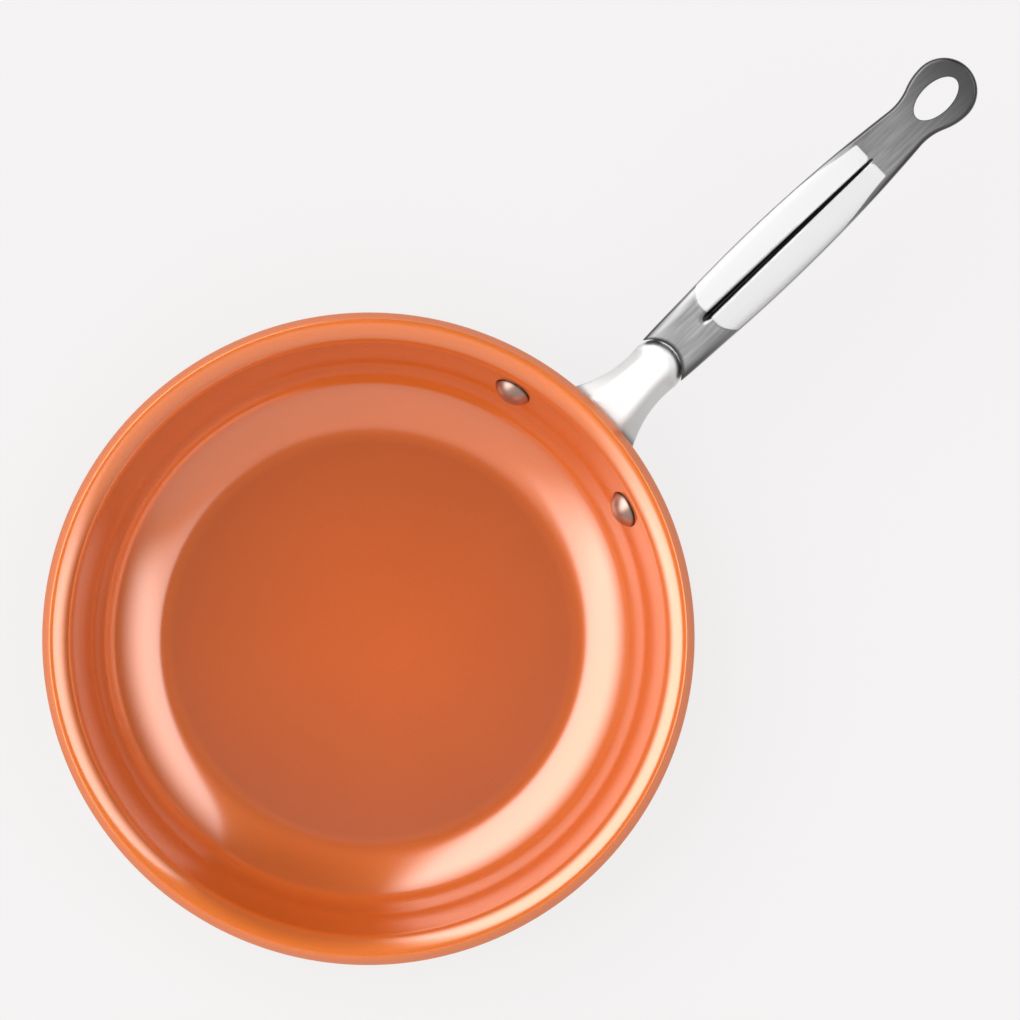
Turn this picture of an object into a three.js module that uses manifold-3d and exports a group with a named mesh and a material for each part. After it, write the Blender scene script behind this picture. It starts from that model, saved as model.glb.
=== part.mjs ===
// Frying pan with a copper-coloured coat: pressed shell, base disc, riveted bracket and hollow grip.
// Millimetres and degrees. +Z is up, the handle runs along +X, the origin is under the middle of the base.

import * as THREE from "three";
import { mergeVertices } from "three/addons/utils/BufferGeometryUtils.js";
import Module from "manifold-3d";

const wasm = await Module();
wasm.setup();

// Shell: one pressed sheet, its rim bent outwards in a wide curve, then down in a short lip
const rimDiameter = 254;
const panDepth = 42;
const wallAngle = 71.8;
const cornerRadius = 29;
const bendRadius = 9;
const crestRadius = 1.2;
const lipWidth = 3.7;
const lipAngle = 50;
const sheetThickness = 3;

// Base disc: thin perforated steel, pressed into the underside
const discMargin = 9;
const discThickness = 1;
const discStandsProud = 0.2;
const discClearance = 0.3;
const perforationDiameter = 7;
const perforationRingPitch = 18;
const perforationPitch = 18;

// Rivets: domed head inside the pan, closed tail on the bracket
const rivetSpacing = 64;
const rivetBelowBend = 8.2;
const headDiameter = 15;
const headHeight = 4.8;
const shankDiameter = 6;
const tailDiameter = 10.5;
const tailHeight = 2;
const tailRounding = 1.2;
const shankClearance = 0.3;
const seatClearance = 0.3;

// Bracket: pad on the wall, neck, rounded nose, tang inside the grip
const padHeight = 14.4;
const padThickness = 3;
const padMargin = 8.5;
const neckToTail = 3;
const neckWaist = 20.8;
const neckWaistFromNose = 15;
const neckFlareRadius = 45;
const neckTop = 6.3;
const neckBottom = 6.3;
const neckSwellLength = 26;
const noseReach = 36;
const noseBow = 7.2;
const noseRounding = 1.4;
const tangLength = 17;
const tangClearance = 0.3;

// Middle line of the handle
const handleReach = 188.1;
const handleRise = 37;
const rootAngle = 20;
const tipAngle = 12;
const rootPull = 70;
const tipPull = 65;

// Grip: hollow, with a groove between two pillows, pressed flat at the end around a hanging eye
const jointGap = 1.2;
const gripWall = 1.2;
const mouthWidth = 21.8;
const gripWidth = 25.7;
const waistWidth = 17.9;
const waistBeforeEye = 19;
const gripTop = 7.6;
const gripBottom = 8;
const eyeRadius = 12.8;
const shoulderRadius = 24;
const eyeFilletRadius = 22;
const eyeThickness = 4.6;
const eyeHoleLength = 20.6;
const eyeHoleWidth = 11.5;
const eyeHoleSetback = 3.9;
const flatteningLength = 72;
const cavityEndBeforeEye = 30;
const grooveAfterTang = 3;
const grooveEndBeforeEye = 38;
const grooveStartWidth = 2.8;
const grooveEndWidth = 1.3;
const grooveDepth = 2.2;
const widestGrooveShare = 0.25;
const pillowBlend = 9;

// Squareness of a cross-section: 2 is an ellipse, higher is flatter on top, lower is more like a roof
const flatSquareness = 3;
const pillowSquareness = 1.7;
const neckSquareness = 2.1;
const undersideSquareness = 2.3;

// Facets
const turnedSegments = 64;
const cornerSteps = 7;
const bendSteps = 8;
const outerBendSteps = 6;
const crestSteps = 3;
const edgeSteps = 3;
const rivetSegments = 16;
const domeSteps = 5;
const perforationSegments = 8;
const eyeSteps = 7;
const eyeLastAngle = 8;
const eyeHoleSegments = 32;
const sidePoints = 7;
const undersidePoints = 7;
const neckRings = 14;
const noseSteps = 3;
const tangRings = 6;
const mouthRings = 5;
const grooveStartRings = 3;
const pillowRings = 6;
const grooveEndRings = 5;
const filletRings = 5;
const shoulderRings = 4;

const rimRadius = rimDiameter / 2;
const quarterTurn = Math.PI / 2;
const { degToRad, smoothstep, lerp, clamp } = THREE.MathUtils;

// A closed solid from a geometry
function solidFrom(geometry) {
  geometry.deleteAttribute("normal");
  geometry.deleteAttribute("uv");
  const merged = mergeVertices(geometry, 1e-4);
  return new wasm.Manifold(
    new wasm.Mesh({
      numProp: 3,
      vertProperties: new Float32Array(merged.attributes.position.array),
      triVerts: new Uint32Array(merged.index.array),
    }),
  );
}

// A profile of radius and height, turned about Z; it runs with the material on its left
function turned(profile, segments, placement = new THREE.Matrix4()) {
  const geometry = new THREE.LatheGeometry(profile, segments);
  geometry.rotateX(quarterTurn);
  geometry.applyMatrix4(placement);
  return solidFrom(geometry);
}

function cylinder(diameter, bottom, top, segments, placement) {
  const radius = diameter / 2;
  const profile = [
    new THREE.Vector2(0, bottom),
    new THREE.Vector2(radius, bottom),
    new THREE.Vector2(radius, top),
    new THREE.Vector2(0, top),
  ];
  return turned(profile, segments, placement);
}

function arc(centre, radius, from, to, steps) {
  return evenly(from, to, steps).map((angle) =>
    new THREE.Vector2(Math.cos(angle), Math.sin(angle)).multiplyScalar(radius).add(centre),
  );
}

function evenly(from, to, steps) {
  return Array.from({ length: steps + 1 }, (_, i) => lerp(from, to, i / steps));
}

// A closed skin over rings of equally many points, with both ends capped
function skinned(rings) {
  const count = rings[0].length;
  const ends = [rings[0], rings[rings.length - 1]].map((ring) =>
    ring.reduce((sum, point) => sum.add(point), new THREE.Vector3()).divideScalar(count),
  );
  const points = [...rings.flat(), ...ends];
  const firstCap = rings.length * count;
  const lastCap = firstCap + 1;
  const lastRing = firstCap - count;
  const triangles = [];
  for (let i = 0; i < count; i++) {
    const j = (i + 1) % count;
    for (let k = 0; k < lastRing; k += count) {
      triangles.push(k + i, k + j, k + count + i);
      triangles.push(k + j, k + count + j, k + count + i);
    }
    triangles.push(firstCap, j, i);
    triangles.push(lastCap, lastRing + i, lastRing + j);
  }
  const geometry = new THREE.BufferGeometry().setFromPoints(points);
  geometry.setIndex(triangles);
  return solidFrom(geometry);
}

// The straight wall touches the bend of the rim at its top and the corner arc at its foot
const floorLevel = discStandsProud + sheetThickness;
const wallSlope = degToRad(wallAngle);
const upWall = new THREE.Vector2(Math.cos(wallSlope), Math.sin(wallSlope));
const wallNormal = new THREE.Vector2(-upWall.y, upWall.x);
const bendCentre = new THREE.Vector2(rimRadius - lipWidth, floorLevel + panDepth - bendRadius);
const wallTopLevel = bendCentre.y + bendRadius * wallNormal.y;
const wallFootLevel = floorLevel + cornerRadius * (1 - wallNormal.y);
const wallLength = (wallTopLevel - wallFootLevel) / upWall.y;
const cornerCentre = wallFoot(0).addScaledVector(wallNormal, cornerRadius);
const floorRadius = cornerCentre.x;

// Outside the bend the sheet turns down over a tight crest; the lip's cut edge is rounded
const lipFacing = quarterTurn - degToRad(lipAngle);
const lipNormal = new THREE.Vector2(Math.cos(lipFacing), Math.sin(lipFacing));
const crestCentre = new THREE.Vector2(bendCentre.x, floorLevel + panDepth - crestRadius);
const edgeRadius = sheetThickness / 2;
const edgeCentre = new THREE.Vector2(rimRadius - edgeRadius, 0);
const lipToEdge = lipNormal.dot(crestCentre) + crestRadius - edgeRadius;
edgeCentre.y = (lipToEdge - lipNormal.x * edgeCentre.x) / lipNormal.y;
const lipBottom = edgeCentre.y - edgeRadius;

// Ends of the straight wall on a skin that lies some distance outside the cooking face
function wallTop(outside) {
  return bendCentre.clone().addScaledVector(wallNormal, bendRadius - outside);
}

function wallFoot(outside) {
  return wallTop(outside).addScaledVector(upWall, -wallLength);
}

// Radius of that skin at a height, carried on in a straight line beyond both ends
function wallRadius(outside, height) {
  const top = wallTop(outside);
  return top.x + (height - top.y) / Math.tan(wallSlope);
}

// A ring of even thickness that follows the straight wall
function wallBand(inner, outer) {
  const outline = [wallFoot(inner), wallFoot(outer), wallTop(outer), wallTop(inner), wallFoot(inner)];
  return turned(outline, turnedSegments);
}

// Rivets stand square to the wall, with their own Z pointing into the pan
const padInside = sheetThickness + seatClearance;
const padOutside = padInside + padThickness;
const rivetSeat = wallTop(0).addScaledVector(upWall, -rivetBelowBend);
const rivetAzimuth = Math.asin(rivetSpacing / 2 / rivetSeat.x);

function rivetPlacement(side) {
  const azimuth = side * rivetAzimuth;
  const outwards = new THREE.Vector3(Math.cos(azimuth), Math.sin(azimuth), 0);
  const intoPan = outwards.clone().multiplyScalar(wallNormal.x).setZ(wallNormal.y);
  const aroundPan = new THREE.Vector3(-Math.sin(azimuth), Math.cos(azimuth), 0);
  const seat = outwards.clone().multiplyScalar(rivetSeat.x).setZ(rivetSeat.y);
  const upThePan = intoPan.clone().cross(aroundPan);
  return new THREE.Matrix4().makeBasis(aroundPan, upThePan, intoPan).setPosition(seat);
}

function rivetHole(side) {
  const diameter = shankDiameter + 2 * shankClearance;
  return cylinder(diameter, -2 * padOutside, 2 * headHeight, rivetSegments, rivetPlacement(side));
}

// Cylinders at the perforations of the base disc: rings from its edge inwards, with a solid middle
const discRadius = floorRadius - discMargin;

function perforations(diameter, bottom, top) {
  const cylinders = [];
  const step = perforationRingPitch;
  for (let ring = discRadius - step; ring > step; ring -= step) {
    const count = Math.floor((2 * Math.PI * ring) / perforationPitch);
    for (let i = 0; i < count; i++) {
      const angle = (2 * Math.PI * i) / count;
      const place = new THREE.Matrix4().makeTranslation(ring * Math.cos(angle), ring * Math.sin(angle), 0);
      cylinders.push(cylinder(diameter, bottom, top, perforationSegments, place));
    }
  }
  return cylinders;
}

// Sheet with its underside recessed for the disc, and studs of sheet that fill the disc's perforations
function panShell() {
  const bendStart = wallSlope + quarterTurn;
  const cornerEnd = wallSlope - quarterTurn;
  const recessRadius = discRadius + discClearance;
  const profile = [
    new THREE.Vector2(0, discThickness),
    new THREE.Vector2(recessRadius, discThickness),
    new THREE.Vector2(recessRadius, discStandsProud),
    ...arc(cornerCentre, cornerRadius + sheetThickness, -quarterTurn, cornerEnd, cornerSteps),
    ...arc(bendCentre, bendRadius - sheetThickness, bendStart, quarterTurn, outerBendSteps),
    ...arc(edgeCentre, edgeRadius, lipFacing - Math.PI, 0, edgeSteps),
    edgeCentre.clone().addScaledVector(lipNormal, edgeRadius),
    ...arc(crestCentre, crestRadius, lipFacing, quarterTurn, crestSteps),
    ...arc(bendCentre, bendRadius, quarterTurn, bendStart, bendSteps).slice(1),
    ...arc(cornerCentre, cornerRadius, cornerEnd, -quarterTurn, cornerSteps),
    new THREE.Vector2(0, floorLevel),
  ];
  let shell = turned(profile, turnedSegments);
  for (const side of [-1, 1]) {
    shell = shell.subtract(rivetHole(side));
  }
  const studDiameter = perforationDiameter - 2 * discClearance;
  const insideSheet = (discThickness + floorLevel) / 2;
  for (const stud of perforations(studDiameter, discStandsProud, insideSheet)) {
    shell = shell.add(stud);
  }
  return shell;
}

function inductionPlate() {
  let disc = cylinder(2 * discRadius, 0, discThickness, turnedSegments);
  for (const hole of perforations(perforationDiameter, -discThickness, 2 * discThickness)) {
    disc = disc.subtract(hole);
  }
  return disc;
}

// Head and tail are trimmed to the curve of the wall and the pad, then joined by the shank
function rivet(side) {
  const placement = rivetPlacement(side);
  const headSphere = (headDiameter ** 2 / 4 + headHeight ** 2) / (2 * headHeight);
  const headCentre = new THREE.Vector2(0, headHeight - headSphere);
  const headEdge = Math.asin((headSphere - headHeight) / headSphere);
  const insideWall = -sheetThickness / 2;
  const head = [
    new THREE.Vector2(0, insideWall),
    new THREE.Vector2(headDiameter / 2, insideWall),
    ...arc(headCentre, headSphere, headEdge, quarterTurn, domeSteps),
  ];
  const tailFace = -padOutside - seatClearance - tailHeight;
  const insidePad = -padOutside + padThickness / 2;
  const tailCorner = new THREE.Vector2(tailDiameter / 2 - tailRounding, tailFace + tailRounding);
  const tail = [
    new THREE.Vector2(0, tailFace),
    ...arc(tailCorner, tailRounding, -quarterTurn, 0, edgeSteps),
    new THREE.Vector2(tailDiameter / 2, insidePad),
    new THREE.Vector2(0, insidePad),
  ];
  return turned(head, rivetSegments, placement)
    .add(turned(tail, rivetSegments, placement))
    .subtract(wallBand(-seatClearance, padOutside + seatClearance))
    .add(cylinder(shankDiameter, tailFace + tailHeight / 2, headHeight / 2, rivetSegments, placement));
}

// The middle line starts inside the wall, passes under the lip, and climbs less steeply towards the tip
const outOfWall = new THREE.Vector3(Math.cos(degToRad(rootAngle)), 0, Math.sin(degToRad(rootAngle)));
const towardsTip = new THREE.Vector3(Math.cos(degToRad(tipAngle)), 0, Math.sin(degToRad(tipAngle)));
const underLip = new THREE.Vector3(rimRadius, 0, lipBottom - seatClearance - neckTop / outOfWall.x);
const rootInsideLip = rimRadius - rivetSeat.x + neckBottom;
const root = underLip.clone().addScaledVector(outOfWall, -rootInsideLip);
const tip = new THREE.Vector3(rimRadius + handleReach, 0, floorLevel + panDepth + handleRise);
const middleLine = new THREE.CubicBezierCurve3(
  root,
  root.clone().addScaledVector(outOfWall, rootPull),
  tip.clone().addScaledVector(towardsTip, -tipPull),
  tip,
);
const lineLength = middleLine.getLength();
const sideways = new THREE.Vector3(0, 1, 0);

// Places along the middle line, measured from its root
const nose = rootInsideLip + noseReach / outOfWall.x;
const mouth = nose + jointGap;
const grooveStart = nose + tangLength + grooveAfterTang;
const eyeCentre = lineLength - eyeRadius;
const waist = eyeCentre - waistBeforeEye;
const grooveEnd = eyeCentre - grooveEndBeforeEye;
const cavityEnd = eyeCentre - cavityEndBeforeEye;

// Nose and mouth are bowed along one circle
const bowRadius = ((mouthWidth / 2) ** 2 + noseBow ** 2) / (2 * noseBow);

function frameAt(distance) {
  const share = clamp(distance / lineLength, 0, 1);
  const forwards = middleLine.getTangentAt(share);
  return { centre: middleLine.getPointAt(share), forwards, upwards: forwards.clone().cross(sideways) };
}

// One ring of the handle: a section set square to the middle line, its sides bowed back
function ringAt(distance, section, bow) {
  const { centre, forwards, upwards } = frameAt(distance);
  return section.map(({ x: across, y: height }) => {
    const sagitta = bowRadius - Math.sqrt(Math.max(0, bowRadius ** 2 - across ** 2));
    return centre
      .clone()
      .addScaledVector(sideways, across)
      .addScaledVector(upwards, height)
      .addScaledVector(forwards, -bow * sagitta);
  });
}

// Section of the handle: its own height above and below, and a V groove along the top
function handleSection({ halfWidth, top, bottom, squareness, grooveHalf, groove }) {
  const outline = (across, height, power) =>
    height * Math.max(0, 1 - (Math.abs(across) / halfWidth) ** power) ** (1 / power);
  const half = evenly(0, quarterTurn, sidePoints).map((angle) => {
    const across = lerp(grooveHalf, halfWidth, Math.cos(angle) ** (2 / squareness));
    return new THREE.Vector2(across, outline(across, top, squareness));
  });
  const otherHalf = half.map(({ x, y }) => new THREE.Vector2(-x, y)).reverse();
  const underneath = evenly(0, Math.PI, undersidePoints + 1).map((angle) => {
    const across = -halfWidth * Math.cos(angle);
    return new THREE.Vector2(across, -outline(across, bottom, undersideSquareness));
  });
  return [...half, new THREE.Vector2(0, top - groove), ...otherHalf, ...underneath.slice(1, -1)];
}

// Sides of the grip: one arc through mouth, belly and waist, a hollow fillet, then the eye's shoulder and end
const mouthDrop = (gripWidth - mouthWidth) / 2;
const waistDrop = (gripWidth - waistWidth) / 2;
const mouthToBelly = (waist - mouth) / (1 + Math.sqrt(waistDrop / mouthDrop));
const sideRadius = (mouthToBelly ** 2 + mouthDrop ** 2) / (2 * mouthDrop);
const sideCentre = new THREE.Vector2(mouth + mouthToBelly, gripWidth / 2 - sideRadius);
const shoulderCentre = new THREE.Vector2(eyeCentre, eyeRadius - shoulderRadius);
const filletCentre = touchingBoth(sideCentre, sideRadius, shoulderCentre, shoulderRadius, eyeFilletRadius);
const filletStart = filletCentre.clone().sub(sideCentre).setLength(sideRadius).add(sideCentre).x;
const filletEnd = filletCentre.clone().sub(shoulderCentre).setLength(shoulderRadius).add(shoulderCentre).x;

// Centre of a circle that touches two others from outside, on their upper side
function touchingBoth(first, firstRadius, second, secondRadius, radius) {
  const towards = second.clone().sub(first);
  const span = towards.length();
  const toFirst = firstRadius + radius;
  const toSecond = secondRadius + radius;
  const along = (toFirst ** 2 - toSecond ** 2 + span ** 2) / (2 * span);
  const above = Math.sqrt(toFirst ** 2 - along ** 2);
  towards.normalize();
  const upper = new THREE.Vector2(-towards.y, towards.x);
  return first.clone().addScaledVector(towards, along).addScaledVector(upper, above);
}

function gripHalfWidth(distance) {
  if (distance < filletStart) {
    return sideCentre.y + Math.sqrt(sideRadius ** 2 - (distance - sideCentre.x) ** 2);
  }
  if (distance < filletEnd) {
    return filletCentre.y - Math.sqrt(eyeFilletRadius ** 2 - (distance - filletCentre.x) ** 2);
  }
  if (distance < eyeCentre) {
    return shoulderCentre.y + Math.sqrt(shoulderRadius ** 2 - (distance - eyeCentre) ** 2);
  }
  return Math.sqrt(Math.max(0, eyeRadius ** 2 - (distance - eyeCentre) ** 2));
}

// Section of the grip, set in by some distance all round for its hollow and for the tang
function gripSection(distance, inset) {
  const flattened = smoothstep(distance, filletStart - flatteningLength, filletStart);
  const pillowStarts = smoothstep(distance, grooveStart - pillowBlend, grooveStart + pillowBlend);
  const pillowEnds = smoothstep(distance, grooveEnd - pillowBlend, grooveEnd + pillowBlend);
  const grooveStarts = smoothstep(distance, grooveStart, grooveStart + pillowBlend / 2);
  const grooveEnds = smoothstep(distance, grooveEnd - pillowBlend, grooveEnd);
  const grooveShare = clamp((distance - grooveStart) / (grooveEnd - grooveStart), 0, 1);
  const grooveHalf = (lerp(grooveStartWidth, grooveEndWidth, grooveShare) + inset) / 2;
  const halfWidth = gripHalfWidth(distance) - inset;
  return handleSection({
    halfWidth,
    top: lerp(gripTop, eyeThickness / 2, flattened) - inset,
    bottom: lerp(gripBottom, eyeThickness / 2, flattened) - inset,
    squareness: lerp(flatSquareness, pillowSquareness, pillowStarts * (1 - pillowEnds)),
    grooveHalf: Math.min(grooveHalf, halfWidth * widestGrooveShare),
    groove: lerp(grooveDepth, grooveDepth / 2, flattened) * grooveStarts * (1 - grooveEnds),
  });
}

// How far rings still follow the round nose: all of it at the mouth, none at the groove
function mouthBow(distance) {
  return 1 - smoothstep(distance, mouth, grooveStart);
}

// Hollow grip as one skin: up the hollow to the mouth, over its edge, and down the outside to the tip
function handleGrip() {
  const ring = (distance, inset) => ringAt(distance, gripSection(distance, inset), mouthBow(distance));
  const along = [
    ...evenly(mouth, grooveStart, mouthRings),
    ...evenly(grooveStart + pillowBlend / 4, grooveStart + pillowBlend, grooveStartRings),
    ...evenly(grooveStart + 2 * pillowBlend, grooveEnd - 2 * pillowBlend, pillowRings),
    ...evenly(grooveEnd - pillowBlend, grooveEnd + pillowBlend, grooveEndRings),
  ];
  const hollow = [...along.filter((distance) => distance < cavityEnd), cavityEnd].reverse();
  const eyeAngles = evenly(quarterTurn, degToRad(eyeLastAngle), eyeSteps);
  const roundEye = eyeAngles.map((angle) => eyeCentre + eyeRadius * Math.cos(angle));
  const outside = [
    ...along,
    ...evenly(filletStart, filletEnd, filletRings),
    ...evenly(filletEnd, eyeCentre, shoulderRings).slice(1),
    ...roundEye.slice(1),
  ];
  const rings = [
    ...hollow.map((distance) => ring(distance, gripWall)),
    ...outside.map((distance) => ring(distance, 0)),
  ];
  return skinned(rings).subtract(eyeHole());
}

// Oval cutter through the flattened end
function eyeHole() {
  const { centre, forwards, upwards } = frameAt(eyeCentre - eyeHoleSetback);
  const oval = new THREE.Shape().absellipse(0, 0, eyeHoleLength / 2, eyeHoleWidth / 2, 0, 2 * Math.PI);
  const cutter = new THREE.ExtrudeGeometry(oval, {
    depth: 2 * eyeThickness,
    bevelEnabled: false,
    curveSegments: eyeHoleSegments / 2,
  });
  cutter.translate(0, 0, -eyeThickness);
  cutter.applyMatrix4(new THREE.Matrix4().makeBasis(forwards, sideways, upwards).setPosition(centre));
  return solidFrom(cutter);
}

// Section of the neck: flared towards the pad, narrow at its waist, level with the grip at the nose
const padLevel = rivetSeat.y - (wallNormal.y * (padInside + padOutside)) / 2;
const tailAcross = wallRadius(padOutside, padLevel) * Math.sin(rivetAzimuth);
const neckRootHalf = tailAcross - tailDiameter / 2 - neckToTail;

function neckSection(distance, inset) {
  const beforeWaist = nose - neckWaistFromNose - distance;
  const flare = neckFlareRadius - Math.sqrt(Math.max(0, neckFlareRadius ** 2 - beforeWaist ** 2));
  const swell = ((mouthWidth - neckWaist) / 2) * (beforeWaist / neckWaistFromNose) ** 2;
  const halfWidth = neckWaist / 2 + (beforeWaist > 0 ? flare : swell);
  const atNose = smoothstep(distance, nose - neckSwellLength, nose);
  return handleSection({
    halfWidth: Math.min(halfWidth, neckRootHalf) - inset,
    top: lerp(neckTop, gripTop, atNose) - inset,
    bottom: lerp(neckBottom, gripBottom, atNose) - inset,
    squareness: lerp(neckSquareness, flatSquareness, atNose),
    grooveHalf: grooveStartWidth / 2,
    groove: 0,
  });
}

// Everything inside this turned shape belongs to the shell and the gap around it
function shellClearance() {
  const below = -panDepth;
  const above = 2 * panDepth;
  const besideLip = rimRadius + seatClearance;
  const belowLip = lipBottom - seatClearance;
  const outline = [
    new THREE.Vector2(0, below),
    new THREE.Vector2(wallRadius(padInside, below), below),
    new THREE.Vector2(wallRadius(padInside, belowLip), belowLip),
    new THREE.Vector2(besideLip, belowLip),
    new THREE.Vector2(besideLip, above),
    new THREE.Vector2(0, above),
  ];
  return turned(outline, turnedSegments);
}

// Curved pad: a band along the wall, trimmed to a long outline with round ends
function bracketPad() {
  const roundEnd = padHeight / 2;
  const endCentre = tailAcross + padMargin - roundEnd;
  const outline = new THREE.Shape();
  outline.absarc(endCentre, 0, roundEnd, -quarterTurn, quarterTurn);
  outline.absarc(-endCentre, 0, roundEnd, quarterTurn, 3 * quarterTurn);
  const trim = new THREE.ExtrudeGeometry(outline, { depth: rimDiameter, bevelEnabled: false });
  const acrossHandle = new THREE.Vector3(0, 1, 0);
  const up = new THREE.Vector3(0, 0, 1);
  const outwards = new THREE.Vector3(1, 0, 0);
  trim.applyMatrix4(new THREE.Matrix4().makeBasis(acrossHandle, up, outwards).setPosition(0, 0, padLevel));
  return wallBand(padInside, padOutside).intersect(solidFrom(trim));
}

// Neck, rounded nose and tang as one skin, cut to the shell and joined to the pad
function handleBracket() {
  const neckBow = (distance) => smoothstep(distance, nose - neckWaistFromNose, nose - noseRounding);
  const neckRing = (distance, inset) => ringAt(distance, neckSection(distance, inset), neckBow(distance));
  const tangInset = gripWall + tangClearance;
  const tangRing = (distance) => ringAt(distance, gripSection(distance, tangInset), mouthBow(distance));
  const roundedEdge = evenly(0, quarterTurn, noseSteps).map((angle) =>
    neckRing(nose - noseRounding * (1 - Math.sin(angle)), noseRounding * (1 - Math.cos(angle))),
  );
  const rings = [
    ...evenly(0, nose - noseRounding, neckRings).slice(0, -1).map((distance) => neckRing(distance, 0)),
    ...roundedEdge,
    ...evenly(nose + jointGap / 2, nose + tangLength, tangRings).map(tangRing),
  ];
  let bracket = skinned(rings).subtract(shellClearance()).add(bracketPad());
  for (const side of [-1, 1]) {
    bracket = bracket.subtract(rivetHole(side));
  }
  return bracket;
}

const copperCoat = new THREE.MeshStandardMaterial({ color: 0xc8622f, roughness: 0.35, metalness: 0.6 });
const discSteel = new THREE.MeshStandardMaterial({ color: 0xb4b2ae, roughness: 0.4, metalness: 0.9 });
const castSteel = new THREE.MeshStandardMaterial({ color: 0xc9c8c6, roughness: 0.25, metalness: 1 });
const gripSteel = new THREE.MeshStandardMaterial({ color: 0xbcbbb9, roughness: 0.3, metalness: 1 });
const rivetSteel = new THREE.MeshStandardMaterial({ color: 0xc4b8b0, roughness: 0.25, metalness: 1 });

const group = new THREE.Group();

function piece(name, solid, material) {
  const { vertProperties, triVerts } = solid.getMesh();
  const geometry = new THREE.BufferGeometry();
  geometry.setAttribute("position", new THREE.BufferAttribute(vertProperties, 3));
  geometry.setIndex(new THREE.BufferAttribute(triVerts, 1));
  geometry.computeVertexNormals();
  const mesh = new THREE.Mesh(geometry, material);
  mesh.name = name;
  group.add(mesh);
}

piece("pan_shell", panShell(), copperCoat);
piece("induction_plate", inductionPlate(), discSteel);
piece("handle_bracket", handleBracket(), castSteel);
piece("handle_grip", handleGrip(), gripSteel);
piece("rivet_left", rivet(1), rivetSteel);
piece("rivet_right", rivet(-1), rivetSteel);

export default group;
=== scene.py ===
# Frying pan with a copper-coloured coat and a riveted steel handle, on a pale studio floor.
# Lengths are millimetres where they are named and become metres when a mesh is made.

import math

import bmesh
import bpy
import numpy as np
from mathutils import Matrix, Vector
from mathutils.kdtree import KDTree


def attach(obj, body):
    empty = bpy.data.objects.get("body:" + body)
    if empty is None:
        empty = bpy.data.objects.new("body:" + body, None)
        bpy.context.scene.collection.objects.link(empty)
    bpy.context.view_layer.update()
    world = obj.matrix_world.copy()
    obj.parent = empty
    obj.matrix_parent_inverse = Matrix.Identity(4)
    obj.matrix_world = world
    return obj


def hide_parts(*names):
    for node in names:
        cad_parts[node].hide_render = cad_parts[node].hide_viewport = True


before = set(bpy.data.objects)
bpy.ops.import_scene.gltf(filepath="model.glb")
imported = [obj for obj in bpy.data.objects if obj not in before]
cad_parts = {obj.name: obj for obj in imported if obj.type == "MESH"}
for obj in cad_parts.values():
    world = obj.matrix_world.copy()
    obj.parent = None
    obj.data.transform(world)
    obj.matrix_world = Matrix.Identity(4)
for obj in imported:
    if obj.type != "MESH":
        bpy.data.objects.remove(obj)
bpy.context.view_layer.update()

# Pan shell
# One aluminium sheet, pressed to a flat floor, a rounded corner and a sloping wall. Its rim is bent outwards
# in a wide curve and ends in a short lip. A copper-coloured ceramic coat is sprayed on all over and baked.
MM = 0.001
rim_radius = 127
pan_depth = 42
sheet = 3
corner_radius = 29
bend_radius = 9
crest_radius = 0.6
slope_reach = 6.214
lip_width = 3.7
lip_facing = math.radians(40)
wall_slope = math.radians(71.8)
disc_proud = 0.2
disc_thickness = 1
disc_margin = 9
disc_gap = 0.3
shell_segments = 288
sharp_edge = math.radians(50)
outside_slope = 0.1
# The copper's tone is painted light and shade: darker at the floor's edge and on the outer lip as painted
# shade, lighter on the corner and the wall and lightest at the crest as painted light.
floor_copper = (0.535, 0.080, 0.0066)
floor_edge_shaded_copper = (0.42, 0.061, 0.0050)
corner_lit_copper = (0.58, 0.100, 0.0080)
wall_lit_copper = (0.63, 0.121, 0.0095)
crest_highlit_copper = (0.70, 0.138, 0.0105)
lip_shaded_copper = (0.54, 0.101, 0.0083)
lip_start = 125.5
floor_tone_ends = (0.1, 0.96)
corner_tone_start = 1.06
cloud_fineness = 14
flake_fineness = 1400
peel_fineness = 420
noise_ends = (0.3, 0.7)
mottling = (0.95, 1.05)
peel_relief = (0.01, 0.4)
coat_roughness = (0.30, 0.34)
coat_metallic = 0.25
coat_ior = 1.8
flake_tint = (1.0, 0.70, 0.35, 1)
glaze_inside = 1.0
glaze_outside = 0.45
glaze_roughness = 0.11
glaze_ior = 2.2

floor_level = disc_proud + sheet
up_wall = np.array([math.cos(wall_slope), math.sin(wall_slope)])
wall_normal = np.array([-up_wall[1], up_wall[0]])
bend_centre = np.array([rim_radius - lip_width, floor_level + pan_depth - bend_radius])
wall_top = bend_centre + bend_radius * wall_normal
wall_length = (wall_top[1] - floor_level - corner_radius * (1 - wall_normal[1])) / up_wall[1]
corner_centre = wall_top - wall_length * up_wall + corner_radius * wall_normal
floor_radius = corner_centre[0]
disc_radius = floor_radius - disc_margin


def arc(centre, radius, start, end, steps):
    angles = np.linspace(start, end, steps + 1)
    return [(centre[0] + radius * math.cos(a), centre[1] + radius * math.sin(a)) for a in angles]


def straight(start, end, steps):
    return [tuple(point) for point in np.linspace(start, end, steps + 1)]


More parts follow.
